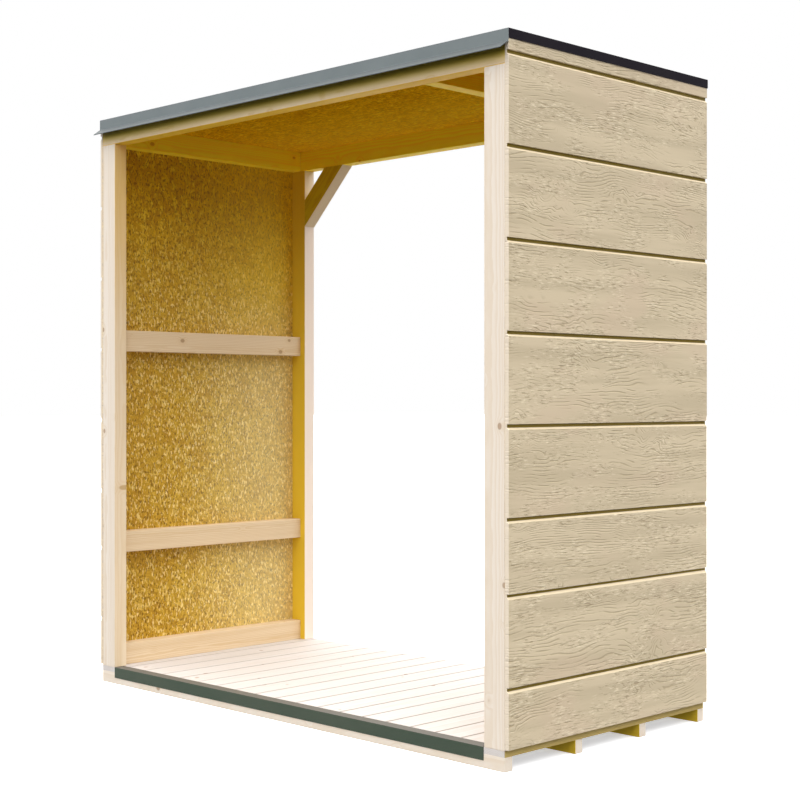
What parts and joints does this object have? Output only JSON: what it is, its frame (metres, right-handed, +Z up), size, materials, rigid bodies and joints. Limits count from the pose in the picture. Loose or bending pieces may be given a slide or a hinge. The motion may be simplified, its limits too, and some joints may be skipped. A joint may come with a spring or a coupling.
{
  "type": "log store",
  "caption": "Open-fronted and open-backed log store: timber frame on bearers with a slatted floor, grooved panel ends and a flat roof.",
  "frame": {"origin": "on the ground, under the middle of the store's outer box", "axes": "+X to the right seen from the open front, +Y from the front to the back, +Z up"},
  "size_m": [1.557, 0.788, 1.615],
  "materials": {
    "bearer_wood": "sawn softwood",
    "floor_wood": "planed softwood",
    "post_wood": "planed softwood",
    "frame_wood": "planed softwood",
    "cladding": "embossed wood-grain face, factory primed, with a bare strand-board back",
    "strand_board": "bare strand board",
    "membrane": "matt sheet",
    "grey_trim": "satin grey coating",
    "black_trim": "satin black coating",
    "floor_edge_metal": "satin dark green coating"
  },
  "bodies": {
    "root": {"bearer_1": "bearer_wood", "bearer_2": "bearer_wood", "bearer_3": "bearer_wood", "bearer_4": "bearer_wood", "floor_boards": "floor_wood", "floor_edge_trim": "floor_edge_metal", "left_front_post": "post_wood", "left_back_post": "post_wood", "right_front_post": "post_wood", "right_back_post": "post_wood", "left_bottom_rail": "frame_wood", "left_lower_rail": "frame_wood", "left_upper_rail": "frame_wood", "left_top_rail": "frame_wood", "right_bottom_rail": "frame_wood", "right_lower_rail": "frame_wood", "right_upper_rail": "frame_wood", "right_top_rail": "frame_wood", "left_upper_cladding": "cladding", "left_lower_cladding": "cladding", "right_upper_cladding": "cladding", "right_lower_cladding": "cladding", "front_header": "frame_wood", "back_beam": "frame_wood", "left_brace": "frame_wood", "right_brace": "frame_wood", "rafter": "frame_wood", "roof_deck": "strand_board", "roof_membrane": "membrane", "front_trim": "grey_trim", "back_trim": "black_trim", "left_trim": "black_trim", "right_trim": "black_trim"}
  },
  "joints": []
}
